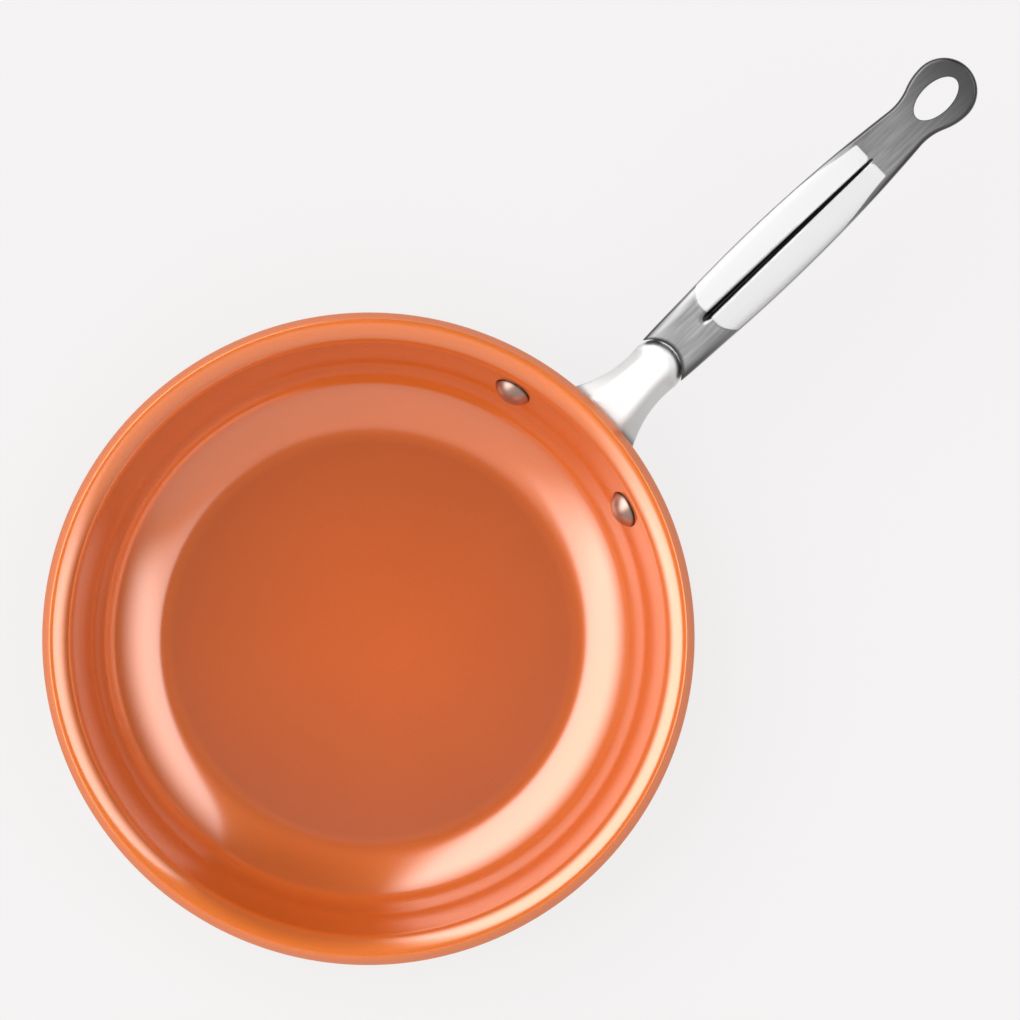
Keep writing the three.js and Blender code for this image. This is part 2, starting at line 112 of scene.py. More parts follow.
def mesh_piece(name, points, faces, finish_and_painted_light=None):
    """A smooth piece from points in millimetres. The finish and painted light give each point three shares,
    which the materials read by colour: painted highlight, with the pillows' blasted finish, in red, painted
    shade in the groove in green and painted shade in blue."""
    mesh = bpy.data.meshes.new(name)
    mesh.from_pydata((np.asarray(points) * MM).tolist(), [], faces)
    if finish_and_painted_light is not None:
        shades = mesh.color_attributes.new("finish_and_painted_light", "FLOAT_COLOR", "POINT")
        shades.data.foreach_set("color", np.column_stack([finish_and_painted_light, np.ones(len(finish_and_painted_light))]).ravel())
    shape = bmesh.new()
    shape.from_mesh(mesh)
    bmesh.ops.remove_doubles(shape, verts=shape.verts, dist=1e-6)
    bmesh.ops.dissolve_degenerate(shape, edges=shape.edges, dist=1e-7)
    bmesh.ops.recalc_face_normals(shape, faces=shape.faces)
    for face in shape.faces:
        face.smooth = True
    shape.to_mesh(mesh)
    shape.free()
    mesh.set_sharp_from_angle(angle=sharp_edge)
    piece = bpy.data.objects.new(name, mesh)
    bpy.context.scene.collection.objects.link(piece)
    return piece


def skin(rings):
    """Points and quads over closed rings of equally many points, with both ends filled."""
    count = len(rings[0])
    faces = [list(range(count)), list(range((len(rings) - 1) * count, len(rings) * count))]
    for start in range(0, (len(rings) - 1) * count, count):
        for i in range(count):
            j = (i + 1) % count
            faces.append([start + i, start + j, start + count + j, start + count + i])
    return np.concatenate(rings), faces


def turned(profile, segments):
    """Points and quads of a profile of radius and height, turned about Z from axis to axis."""
    turns = np.linspace(0, 2 * math.pi, segments, endpoint=False)
    rings = [
        np.column_stack([r * np.cos(turns), r * np.sin(turns), np.full(segments, h)]) for r, h in profile
    ]
    points, faces = skin(rings)
    return points, faces[2:]


def lip_edge():
    """The rounding of the crest, which touches the bend and the lip's slope, and the lip's edge."""
    slope_normal = np.array([math.cos(lip_facing), math.sin(lip_facing)])
    to_crest = bend_radius - crest_radius
    crest_turn = lip_facing + math.acos((slope_reach - crest_radius) / to_crest)
    crest_centre = bend_centre + to_crest * np.array([math.cos(crest_turn), math.sin(crest_turn)])
    reach = rim_radius - sheet / 2
    past_bend = slope_reach - sheet / 2 - slope_normal[0] * (reach - bend_centre[0])
    return crest_turn, crest_centre, np.array([reach, bend_centre[1] + past_bend / slope_normal[1]])


def shell_profile():
    up = math.pi / 2
    bend_start = wall_slope + up
    corner_end = wall_slope - up
    recess = disc_radius + disc_gap
    crest_turn, crest_centre, edge_centre = lip_edge()
    guard = 0.8
    inside = [
        *straight((0, floor_level), (floor_radius - guard, floor_level), 8),
        *arc(corner_centre, corner_radius, -math.pi / 2, corner_end, 30),
        *straight(wall_top - (wall_length - guard) * up_wall, wall_top - guard * up_wall, 6),
        *arc(bend_centre, bend_radius, bend_start, crest_turn, 30),
        *arc(crest_centre, crest_radius, crest_turn, lip_facing, 8)[1:],
        *arc(edge_centre, sheet / 2, lip_facing, lip_facing - math.pi, 14),
    ]
    outer_top = bend_centre + (bend_radius - sheet) * wall_normal
    outside = [
        *arc(bend_centre, bend_radius - sheet, up, bend_start, 14),
        *straight(outer_top - guard * up_wall, outer_top - (wall_length - guard) * up_wall, 6),
        *arc(corner_centre, corner_radius + sheet, corner_end, -math.pi / 2, 30),
        (recess + guard, disc_proud),
        (recess, disc_proud),
        (recess, disc_thickness),
        (0, disc_thickness),
    ]
    return inside + outside


def blank_finish(name):
    material = bpy.data.materials.new(name)
    material.use_nodes = True
    return material, material.node_tree


def joined(tree, kind, settings=None, **sockets):
    """A new node; a socket, by its name or by _ and its number, takes a value or another node's output."""
    node = tree.nodes.new(kind)
    for key, value in (settings or {}).items():
        setattr(node, key, value)
    for key, value in sockets.items():
        number = key[1:]
        socket = node.inputs[int(number) if number.isdigit() else key.replace("_", " ")]
        if isinstance(value, bpy.types.NodeSocket):
            tree.links.new(value, socket)
        else:
            socket.default_value = value
    return node


def own_place(tree):
    return joined(tree, "ShaderNodeTexCoord").outputs["Object"]


def noise(tree, place, fineness, detail):
    """Soft random shares; the fineness counts the spots in a metre."""
    return joined(tree, "ShaderNodeTexNoise", Vector=place, Scale=fineness, Detail=detail).outputs["Fac"]


def number_math(tree, operation, first, second):
    return joined(tree, "ShaderNodeMath", {"operation": operation}, _0=first, _1=second).outputs[0]


def vector_math(tree, operation, first, second=(0, 0, 0)):
    return joined(tree, "ShaderNodeVectorMath", {"operation": operation}, _0=first, _1=second)


def spread(tree, value, ends, onto=(0, 1)):
    """Moves a value from one range onto another."""
    low, high = onto
    moved = joined(tree, "ShaderNodeMapRange", Value=value, _1=ends[0], _2=ends[1], _3=low, _4=high)
    return moved.outputs["Result"]


def ramped(tree, share, stops):
    """Colour at a share, between stops of position and colour."""
    ramp = joined(tree, "ShaderNodeValToRGB", Fac=share)
    elements = ramp.color_ramp.elements
    while len(elements) < len(stops):
        elements.new(0.5)
    for element, (position, colour) in zip(elements, stops):
        element.position = position
        element.color = (*colour, 1)
    return ramp.outputs["Color"]


def relief(tree, height, strength, depth):
    """Fine bumps that only turn the light; the depth is in millimetres."""
    bump = joined(tree, "ShaderNodeBump", Strength=strength, Distance=depth * MM, Height=height)
    return bump.outputs["Normal"]


def dressed(material, tone, roughness, metallic, normal=None):
    """Gives a material its tone, roughness and, where it has one, its fine relief."""
    surface = material.node_tree.nodes["Principled BSDF"]
    links = material.node_tree.links
    links.new(tone, surface.inputs["Base Color"])
    links.new(roughness, surface.inputs["Roughness"])
    if normal is not None:
        links.new(normal, surface.inputs["Normal"])
    surface.inputs["Metallic"].default_value = metallic
    return surface


def from_axis(tree, place):
    """Distance of a point from the pan's axis, in metres."""
    flat = vector_math(tree, "MULTIPLY", place, (1, 1, 0)).outputs[0]
    return vector_math(tree, "LENGTH", flat).outputs["Value"]


def copper_coat(name, glaze):
    """Flakes under a glaze. The tone changes from the floor to the wall and the rim: painted shade at the
    floor's edge and on the lip, painted light on the corner and the wall, lightest at the crest.
    """
    material, tree = blank_finish(name)
    place = own_place(tree)
    cloud = noise(tree, place, cloud_fineness, 2)
    flake = noise(tree, place, flake_fineness, 1)
    peel = noise(tree, place, peel_fineness, 2)
    both = joined(tree, "ShaderNodeMix", _0=0.5, _2=cloud, _3=flake).outputs[0]
    mottle = spread(tree, both, noise_ends, mottling)
    reach = spread(tree, from_axis(tree, place), (0, rim_radius * MM))
    floor_share = floor_radius / rim_radius
    copper = ramped(tree, reach, (
        (floor_tone_ends[0], floor_copper),
        (floor_tone_ends[1] * floor_share, floor_edge_shaded_copper),
        (corner_tone_start * floor_share, corner_lit_copper),
        (wall_top[0] / rim_radius, wall_lit_copper),
        (bend_centre[0] / rim_radius, crest_highlit_copper),
        (lip_start / rim_radius, lip_shaded_copper),
    ))
    tone = joined(tree, "ShaderNodeVectorMath", {"operation": "SCALE"}, Vector=copper, Scale=mottle)
    roughness = spread(tree, cloud, (0, 1), coat_roughness)
    normal = relief(tree, peel, *peel_relief)
    coat = dressed(material, tone.outputs[0], roughness, coat_metallic, normal)
    coat.inputs["IOR"].default_value = coat_ior
    coat.inputs["Specular Tint"].default_value = flake_tint
    coat.inputs["Coat Weight"].default_value = glaze
    coat.inputs["Coat Roughness"].default_value = glaze_roughness
    coat.inputs["Coat IOR"].default_value = glaze_ior
    return material


pan_shell = mesh_piece("pan_shell_coated", *turned(shell_profile(), shell_segments))
pan_shell.data.materials.append(copper_coat("copper_coat", glaze_inside))
pan_shell.data.materials.append(copper_coat("copper_coat_outside", glaze_outside))
for face in pan_shell.data.polygons:
    outwards = face.normal.xy.dot(face.center.xy.normalized())
    face.material_index = int(outwards > outside_slope or face.normal.z < -outside_slope)
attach(pan_shell, "root")
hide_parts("pan_shell")

# Base disc
# Thin stainless steel that makes the pan work on induction hobs. It is stamped with round holes and pressed
# into the soft aluminium, which fills the holes. Both are then turned flat, which leaves fine rings.
hole_diameter = 7
hole_pitch = 18
disc_edge = 0.12
disc_segments = 192
hole_segments = 28
stud_rounding = 0.25
cut_sharp_edge = math.radians(35)
ring_relief = (0.2, 0.1)
ring_fineness = 900
smear_fineness = 30
turned_roughness = (0.28, 0.42)
stainless_tones = ((0.42, 0.41, 0.40), (0.62, 0.61, 0.59))
aluminium_tones = ((0.55, 0.55, 0.55), (0.72, 0.72, 0.73))


def hole_places():
    places = []
    for ring in np.arange(disc_radius - hole_pitch, hole_pitch, -hole_pitch):
        count = int(2 * math.pi * ring / hole_pitch)
        turns = np.linspace(0, 2 * math.pi, count, endpoint=False)
        places += [(ring * math.cos(a), ring * math.sin(a)) for a in turns]
    return places


def perforated_disc():
    outline = bpy.data.curves.new("base_disc_outline", "CURVE")
    outline.dimensions = "2D"
    outline.fill_mode = "BOTH"
    outline.extrude = (disc_thickness / 2 - disc_edge) * MM
    outline.bevel_depth = disc_edge * MM
    outline.offset = -disc_edge * MM
    circles = [(0, 0, disc_radius, disc_segments)]
    circles += [(x, y, hole_diameter / 2, hole_segments) for x, y in hole_places()]
    for x, y, radius, count in circles:
        line = outline.splines.new("POLY")
        line.points.add(count - 1)
        line.use_cyclic_u = True
        for point, turn in zip(line.points, np.linspace(0, 2 * math.pi, count, endpoint=False)):
            point.co = ((x + radius * math.cos(turn)) * MM, (y + radius * math.sin(turn)) * MM, 0, 1)
    holder = bpy.data.objects.new("base_disc_outline", outline)
    bpy.context.scene.collection.objects.link(holder)
    holder.location.z = disc_thickness / 2 * MM
    return finished(holder, "base_disc")


def finished(holder, name):
    """A piece with the final mesh of a curve or of an object with modifiers, which is then removed."""
    bpy.context.view_layer.update()
    mesh = bpy.data.meshes.new_from_object(holder.evaluated_get(bpy.context.evaluated_depsgraph_get()))
    mesh.transform(holder.matrix_world)
    mesh.name = name
    bpy.data.objects.remove(holder)
    for face in mesh.polygons:
        face.use_smooth = True
    mesh.set_sharp_from_angle(angle=cut_sharp_edge)
    piece = bpy.data.objects.new(name, mesh)
    bpy.context.scene.collection.objects.link(piece)
    return piece


def turned_metal(name, dark, light):
    """Fine rings from the lathe, in a grey metal."""
    material, tree = blank_finish(name)
    place = own_place(tree)
    reach = from_axis(tree, place)
    rings = joined(tree, "ShaderNodeTexNoise", {"noise_dimensions": "1D"}, W=reach, Scale=ring_fineness)
    ring = rings.outputs["Fac"]
    smear = noise(tree, place, smear_fineness, 3)
    share = spread(tree, number_math(tree, "ADD", ring, smear), (0.6, 1.4))
    tone = ramped(tree, share, ((0, dark), (1, light)))
    roughness = spread(tree, smear, (0, 1), turned_roughness)
    dressed(material, tone, roughness, 1, relief(tree, ring, *ring_relief))
    return material


def stud_profile():
    radius = hole_diameter / 2 - disc_gap
    top = (disc_thickness + floor_level) / 2
    centre = (radius - stud_rounding, disc_proud + stud_rounding)
    rounding = arc(centre, stud_rounding, -math.pi / 2, 0, 4)
    return [(0, disc_proud), *rounding, (radius, top), (0, top)]


def studs():
    points, faces = turned(stud_profile(), hole_segments)
    places = hole_places()
    all_points = np.concatenate([points + (x, y, 0) for x, y in places])
    all_faces = [[i + k * len(points) for i in face] for k in range(len(places)) for face in faces]
    return all_points, all_faces


base_disc = perforated_disc()
base_disc.data.materials.append(turned_metal("turned_stainless", *stainless_tones))
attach(base_disc, "root")
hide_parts("induction_plate")
base_studs = mesh_piece("base_studs", *studs())
base_studs.data.materials.append(turned_metal("turned_aluminium", *aluminium_tones))
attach(base_studs, "root")

# Handle bracket
# Cast stainless steel, blasted to an even satin. A curved pad is riveted to the wall under the rim; the
# neck has a raised middle, painted lighter as a highlight, and sloping flanks, painted darker as shade next
# to the rim; the rounded nose ends in a tang inside the grip.
handle_root = np.array([107.162, 25.187])
handle_tip = np.array([315.1, 82.2])
root_slope = math.radians(20)
tip_slope = math.radians(12)
root_pull = 70
tip_pull = 65
nose = 59.42
nose_rounding = 3
neck_waist = 20.8
waist_before_nose = 15
flare_radius = 45
widest_neck = 51
neck_height = 6.3
swell_length = 26
grip_top = 7.6
grip_bottom = 8
mouth_width = 21.8
mouth_bow = 7.2
tang_length = 17
tang_inset = 3.4
raised_middle_at_rim = 7.6
raised_middle_at_nose = 5.6
flank_edge_height = 1.6
ridge_before_nose = 3.5
ridge_rounding = 7
ridge_softness = 0.7
ridge_narrows_from = 20
ridge_edge = (-0.3, 0.9)
ridge_end_blend = 0.8
merge_before_nose = (13, 2)
flank_power = 7
nose_power = 3
neck_under_power = 2.2
rim_shade = 22.2
rim_shade_blend = 3
flank_shade_edge = (0.6, 2.2)
pad_gap = 0.3
pad_inside = sheet + pad_gap
pad_thickness = 3
pad_height = 14.4
pad_half_length = 42.25
pad_edge = 0.9
pad_level = 29.722
root_fillet = 4.5
satin_cloud_fineness = 60
blast_fineness = 2600
satin_tones = ((0.70, 0.70, 0.69), (0.77, 0.77, 0.765))
# The raised middle is painted lighter as a highlight, and the flanks next to the rim darker as shade.
ridge_highlight_tone = (0.82, 0.82, 0.815, 1)
flank_shade_tone = (0.30, 0.29, 0.28, 1)
satin_roughness = (0.54, 0.64)
blast_relief = (0.15, 0.1)


def handle_line():
    """Points along the middle line of the handle, as X and Z, and their distances from its root."""
    share = np.linspace(0, 1, 4001)[:, None]
    root_handle = handle_root + root_pull * np.array([math.cos(root_slope), math.sin(root_slope)])
    tip_handle = handle_tip - tip_pull * np.array([math.cos(tip_slope), math.sin(tip_slope)])
    points = (1 - share) ** 3 * handle_root + 3 * (1 - share) ** 2 * share * root_handle
    points = points + 3 * (1 - share) * share**2 * tip_handle + share**3 * handle_tip
    steps = np.linalg.norm(np.diff(points, axis=0), axis=1)
    return points, np.concatenate([[0], np.cumsum(steps)])


line_points, line_distances = handle_line()
line_length = float(line_distances[-1])


def on_line(distance):
    return np.array([np.interp(distance, line_distances, line_points[:, k]) for k in (0, 1)])


def handle_ring(distance, across, height, pushed_back):
    """A section set square to the middle line, each of its points pushed back along the line."""
    middle = on_line(distance)
    reach = 0.5
    ahead = on_line(min(distance + reach, line_length)) - on_line(max(distance - reach, 0))
    ahead = ahead / np.linalg.norm(ahead)
    x = middle[0] - ahead[1] * height - ahead[0] * pushed_back
    z = middle[1] + ahead[0] * height - ahead[1] * pushed_back
    return np.column_stack([x, across, z])


def ramp_up(value, start, end):
    """0 before start, 1 after end, smooth between."""
    share = np.clip((value - start) / (end - start), 0, 1)
    return share * share * (3 - 2 * share)


def blended(first, second, share):
    return first + (second - first) * share


def sagitta(radius, across):
    return radius - np.sqrt(np.maximum(radius**2 - across**2, 0))


def rounded(share, power):
    """1 in the middle of a section and 0 at its sides; a higher power keeps it flat for longer."""
    return np.maximum(1 - np.abs(share) ** power, 0) ** (1 / power)


bow_radius = ((mouth_width / 2) ** 2 + mouth_bow**2) / (2 * mouth_bow)
near_middle = np.linspace(0, 0.1, 6)
top_shares = np.concatenate([near_middle, np.sin(np.linspace(0.12, math.pi / 2, 30))])
under_turns = np.linspace(0, math.pi, 33)[1:-1]


def closed_section(half_width, top_of, bottom_of, shares=top_shares):
    """Across and height of a closed outline: over the top from side to side, then back underneath."""
    right = half_width * shares[::-1]
    over = np.concatenate([right, -right[::-1][1:]])
    under = -half_width * np.cos(under_turns)
    across = np.concatenate([over, under])
    height = np.concatenate([top_of(over), -bottom_of(under)])
    return across, height


def wall_radius(outside, height):
    """Radius of a skin that lies some distance outside the cooking face of the wall."""
    top = bend_centre + (bend_radius - outside) * wall_normal
    return top[0] + (height - top[1]) / math.tan(wall_slope)


pad_outside = pad_inside + pad_thickness
pad_face = line_distances[np.argmax(line_points[:, 0] > wall_radius(pad_outside, line_points[:, 1]))]
pad_curve = wall_radius(pad_outside, pad_level)


def neck_ring(distance, inset):
    """One ring of the neck, and for each of its points the shares of painted highlight on the ridge and
    painted shade on the flank.
    """
    past_waist = distance - (nose - waist_before_nose)
    swell = (mouth_width - neck_waist) / 2 * (past_waist / waist_before_nose) ** 2
    half_width = neck_waist / 2 + (swell if past_waist > 0 else sagitta(flare_radius, past_waist))
    from_pad = max(distance - pad_face, 0)
    fillet = sagitta(root_fillet, max(root_fillet - from_pad, 0))
    half_width = min(half_width, widest_neck / 2) + fillet - inset
    at_nose = ramp_up(distance, nose - swell_length, nose)
    merged = ramp_up(distance, nose - merge_before_nose[0], nose - merge_before_nose[1])
    narrowed = ramp_up(distance, ridge_narrows_from, nose)
    top = blended(neck_height, grip_top, at_nose) - inset
    bottom = blended(neck_height, grip_bottom, at_nose) + fillet - inset
    middle = blended(raised_middle_at_rim, raised_middle_at_nose, narrowed)
    flank = (top - flank_edge_height) / (half_width - middle)

    def top_of(across):
        beyond = ridge_softness * np.log1p(np.exp((np.abs(across) - middle) / ridge_softness))
        share = across / half_width
        cast = (top - flank * beyond) * rounded(share, flank_power)
        return blended(cast, top * rounded(share, nose_power), merged)

    def bottom_of(across):
        return bottom * rounded(across / half_width, neck_under_power)

    across, height = closed_section(half_width, top_of, bottom_of)
    bowed = ramp_up(distance, nose - waist_before_nose, nose - nose_rounding / 2)
    pushed_back = blended(sagitta(pad_curve, across), sagitta(bow_radius, across), bowed)
    beside = np.abs(across)
    ridge_end = nose - ridge_before_nose - sagitta(ridge_rounding, np.minimum(beside, ridge_rounding))
    # Painted highlight on the raised middle; painted shade on the flanks' upper side next to the rim.
    bright = 1 - ramp_up(beside, middle + ridge_edge[0], middle + ridge_edge[1])
    bright *= 1 - ramp_up(distance, ridge_end - ridge_end_blend, ridge_end + ridge_end_blend)
    bright *= height > 0
    shaded = ramp_up(beside, middle + flank_shade_edge[0], middle + flank_shade_edge[1])
    shaded *= 1 - ramp_up(distance, rim_shade, rim_shade + rim_shade_blend)
    shaded *= ramp_up(height, 0, flank_edge_height)
    finish_and_painted_light = np.column_stack([bright, np.zeros(len(across)), shaded])
    return handle_ring(distance, across, height, pushed_back), finish_and_painted_light


def neck():
    edge = np.linspace(0, math.pi / 2, 8)
    along = np.concatenate([
        np.linspace(pad_face - 1.5, pad_face + root_fillet, 14),
        np.linspace(pad_face + root_fillet, nose - nose_rounding, 44)[1:-1],
    ])
    rings = [neck_ring(distance, 0) for distance in along]
    for turn in edge:
        back, inset = nose_rounding * (1 - math.sin(turn)), nose_rounding * (1 - math.cos(turn))
        rings.append(neck_ring(nose - back, inset))
    rings += [neck_ring(nose, tang_inset)]
    tang, tang_finish_and_painted_light = rings[-1]
    forward = on_line(nose + tang_length) - on_line(nose)
    rings += [(tang + np.array([forward[0], 0, forward[1]]), tang_finish_and_painted_light)]
    points, faces = skin([ring for ring, _ in rings])
    return points, faces, np.concatenate([finish_and_painted_light for _, finish_and_painted_light in rings])


def pad():
    """A long plate with round ends, laid on the outside of the wall."""
    round_end = pad_height / 2
    end = pad_half_length - round_end
    turns = np.linspace(-math.pi / 2, math.pi / 2, 17)
    along = np.linspace(-end, end, 41)[1:-1]

    def ring(radius, outside):
        right = np.column_stack([end + radius * np.cos(turns), radius * np.sin(turns)])
        top = np.column_stack([along[::-1], np.full(len(along), radius)])
        outline = np.concatenate([right, top, -right, -top])
        height = pad_level + outline[:, 1]
        reach = wall_radius(outside, height)
        return np.column_stack([np.sqrt(reach**2 - outline[:, 0] ** 2), outline[:, 0], height])

    face = np.linspace(0, round_end - pad_edge, 6)
    corner = np.linspace(0, math.pi / 2, 6)
    rings = [ring(radius, pad_inside) for radius in (*face, round_end)]
    rings += [
        ring(round_end - pad_edge * (1 - math.cos(a)), pad_outside - pad_edge * (1 - math.sin(a)))
        for a in corner
    ]
    rings += [ring(radius, pad_outside) for radius in face[::-1]]
    points, faces = skin(rings)
    return points, faces[2:]


def combined(piece, other, how):
    """The piece after joining or cutting it with another, which is then removed."""
    step = piece.modifiers.new(how, "BOOLEAN")
    step.operation = how
    step.solver = "EXACT"
    step.object = other
    name = piece.name
    piece.name = name + "_before"
    result = finished(piece, name)
    bpy.data.objects.remove(other)
    return result


def keep_finish_and_painted_light(piece, points, finish_and_painted_light):
    """Gives each point of a joined or cut piece the finish and painted light of the nearest given point."""
    tree = KDTree(len(points))
    for index, point in enumerate(points):
        tree.insert(point * MM, index)
    tree.balance()
    nearest = [tree.find(vertex.co)[1] for vertex in piece.data.vertices]
    shades = np.column_stack([finish_and_painted_light[nearest], np.ones(len(nearest))])
    piece.data.attributes["finish_and_painted_light"].data.foreach_set("color", shades.ravel())


def finish_and_painted_light_shares(tree):
    """The red, green and blue shares that a piece's points carry."""
    carried = joined(tree, "ShaderNodeAttribute", {"attribute_name": "finish_and_painted_light"}).outputs["Color"]
    return joined(tree, "ShaderNodeSeparateColor", Color=carried).outputs


def mixed_tone(tree, share, first, second):
    return joined(tree, "ShaderNodeMix", {"data_type": "RGBA"}, _0=share, _6=first, _7=second).outputs[2]


def satin_steel():
    material, tree = blank_finish("blasted_stainless")
    place = own_place(tree)
    cloud = noise(tree, place, satin_cloud_fineness, 3)
    grain = noise(tree, place, blast_fineness, 2)
    shares = finish_and_painted_light_shares(tree)
    tone = ramped(tree, cloud, ((0, satin_tones[0]), (1, satin_tones[1])))
    # Painted highlight on the ridge in red, painted shade on the flanks in blue.
    tone = mixed_tone(tree, shares["Red"], tone, ridge_highlight_tone)
    tone = mixed_tone(tree, shares["Blue"], tone, flank_shade_tone)
    roughness = spread(tree, grain, (0, 1), satin_roughness)
    dressed(material, tone, roughness, 1, relief(tree, grain, *blast_relief))
    return material


neck_points, neck_faces, neck_finish_and_painted_light = neck()
pad_points, pad_faces = pad()
bare_neck = mesh_piece("handle_bracket_cast", neck_points, neck_faces, neck_finish_and_painted_light)
bracket = combined(bare_neck, mesh_piece("pad", pad_points, pad_faces), "UNION")
plain_pad = np.zeros((len(pad_points), 3))
bracket_finish_and_painted_light = np.concatenate([neck_finish_and_painted_light, plain_pad])
keep_finish_and_painted_light(bracket, np.concatenate([neck_points, pad_points]), bracket_finish_and_painted_light)
bracket.data.materials.append(satin_steel())
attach(bracket, "root")
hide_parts("handle_bracket")

# Handle grip
# Stainless tube, pressed in dies: a bowed mouth around the tang, two pillows with a groove between them,
# and a flattened end with an oval hanging eye. Brushed along its length; the pillows are blasted and painted
# lighter as a highlight, the groove between them is painted dark as shade, and the top is painted darker as
# shade near its sides, at the mouth and over the flattened end.
mouth_gap = 1.2
mouth = nose + mouth_gap
tube_wall = 1.2
grip_width = 25.7
waist_width = 17.9
waist_before_eye = 19
eye_radius = 12.8
shoulder_radius = 24
eye_fillet = 22
eye_half_thickness = 2.3
eye_edge = 1.4
eye_hole_length = 20.6
eye_hole_width = 11.5
eye_hole_setback = 3.9
eye_hole_rounding = 0.5
eye_hole_flare = math.radians(45)
flattening = 72
flatness = 9
grip_under_power = 2.3
groove_after_nose = 20
groove_before_eye = 38
hollow_before_eye = 30
groove_start = nose + groove_after_nose
groove_depth = 2.2
groove_half_start = 1.9
groove_half_end = 0.9
groove_depth_at_end = 0.6
groove_before_start = 4
groove_full_after = 1.5
groove_fades_before = 5
groove_gone_after = 1
widest_groove_share = 0.25
groove_shade_before_start = 5
groove_shade_after_end = 2
pillow_slope = math.tan(math.radians(2.5))
pillow_lift = 0.5
pillow_blend = 1.6
pillow_start_setback = 0.5
pillow_end_overrun = 0.3
pillow_round_from = 4.4
pillow_round_width = 7.3
pillow_round_length = 4
pillow_round_power = 1.8
notch_half_width = 2.5
notch_at_start = 1
notch_at_end = 2.5
pillow_margin = 0.5
pillow_margin_at_end = 2.5
pillow_margin_blend = 0.4
pillow_narrows_over = 28
plate_before_end = 8
plate_after_end = 6
# Painted shade on the top: darker near its sides towards the eye and at the mouth, over the whole flattened
# end and on the mouth's lip.
darkened_edge = 3.2
darkened_before_end = 30
darkened_height = 0.6
mouth_shade = 0.9
mouth_shade_length = 12
dark_lip = (0.8, 1.6)
eye_shade = 0.92
brush_length_fineness = 60
brush_width_fineness = 900
grip_cloud_fineness = 45
brushed_tones = ((0.25, 0.25, 0.25), (0.37, 0.37, 0.37))
brushed_roughness = (0.26, 0.36)
brush_relief = (0.12, 0.1)
# Layers over the brushed steel, each its share's colour, span, colour and roughness: painted shade; the
# pillows' blasted finish with a painted highlight; painted shade in the groove.
painted_shade_layer = ("Blue", (0, 1), (0.06, 0.06, 0.06, 1), 0.35)
pillow_highlight_layer = ("Red", (0.3, 0.7), (0.70, 0.70, 0.70, 1), 0.7)
groove_shade_layer = ("Green", (0.2, 0.5), (0.03, 0.03, 0.03, 1), 0.45)
eye_centre = line_length - eye_radius
groove_end = eye_centre - groove_before_eye
hollow_end = eye_centre - hollow_before_eye
waist = eye_centre - waist_before_eye
grip_run = handle_tip - on_line(mouth)
grip_slope = math.atan2(grip_run[1], grip_run[0])


def grip_sides():
    """Side arc through mouth, belly and waist, and the fillet that joins it to the eye's shoulder."""
    mouth_drop = (grip_width - mouth_width) / 2
    waist_drop = (grip_width - waist_width) / 2
    to_belly = (waist - mouth) / (1 + math.sqrt(waist_drop / mouth_drop))
    radius = (to_belly**2 + mouth_drop**2) / (2 * mouth_drop)
    side = Vector((mouth + to_belly, grip_width / 2 - radius))
    shoulder = Vector((eye_centre, eye_radius - shoulder_radius))
    span = shoulder - side
    to_side, to_eye = radius + eye_fillet, shoulder_radius + eye_fillet
    along = (to_side**2 - to_eye**2 + span.length_squared) / (2 * span.length)
    above = math.sqrt(to_side**2 - along**2)
    unit = span.normalized()
    fillet = side + along * unit + above * Vector((-unit.y, unit.x))
    start = side + (fillet - side).normalized() * radius
    end = shoulder + (fillet - shoulder).normalized() * shoulder_radius
    return side, radius, fillet, start.x, end.x


side_centre, side_radius, fillet_centre, fillet_start, fillet_end = grip_sides()


def grip_half_width(distance):
    if distance < fillet_start:
        return side_centre.y + math.sqrt(side_radius**2 - (distance - side_centre.x) ** 2)
    if distance < fillet_end:
        return fillet_centre.y - math.sqrt(eye_fillet**2 - (distance - fillet_centre.x) ** 2)
    if distance < eye_centre:
        return eye_radius - sagitta(shoulder_radius, distance - eye_centre)
    return math.sqrt(max(eye_radius**2 - (distance - eye_centre) ** 2, 0))


def groove_half(distance):
    share = np.clip((distance - groove_start) / (groove_end - groove_start), 0, 1)
    return blended(groove_half_start, groove_half_end, share)


def pillow_share(distance, across, half_width):
    """Shares of the pillows along and across the grip. They begin round, have a notch at each end of the
    groove, and draw in from the sides towards the eye."""
    from_middle = np.abs(across)
    side = np.clip((from_middle - pillow_round_from) / pillow_round_width, 0, 1)
    notch = np.clip(1 - from_middle / notch_half_width, 0, 1) ** 2
    start = groove_start + pillow_start_setback + notch_at_start * notch
    start = start + pillow_round_length * side**pillow_round_power
    end = groove_end + pillow_end_overrun - notch_at_end * notch
    begins = ramp_up(distance - start, -pillow_blend / 2, pillow_blend / 2)
    ends = ramp_up(distance - end, -pillow_blend / 2, pillow_blend / 2)
    narrowed = ramp_up(distance, groove_end - pillow_narrows_over, groove_end)
    margin = blended(pillow_margin, pillow_margin_at_end, narrowed)
    from_side = half_width - from_middle
    within = ramp_up(from_side, margin - pillow_margin_blend, margin + pillow_margin_blend)
    return begins * (1 - ends), within


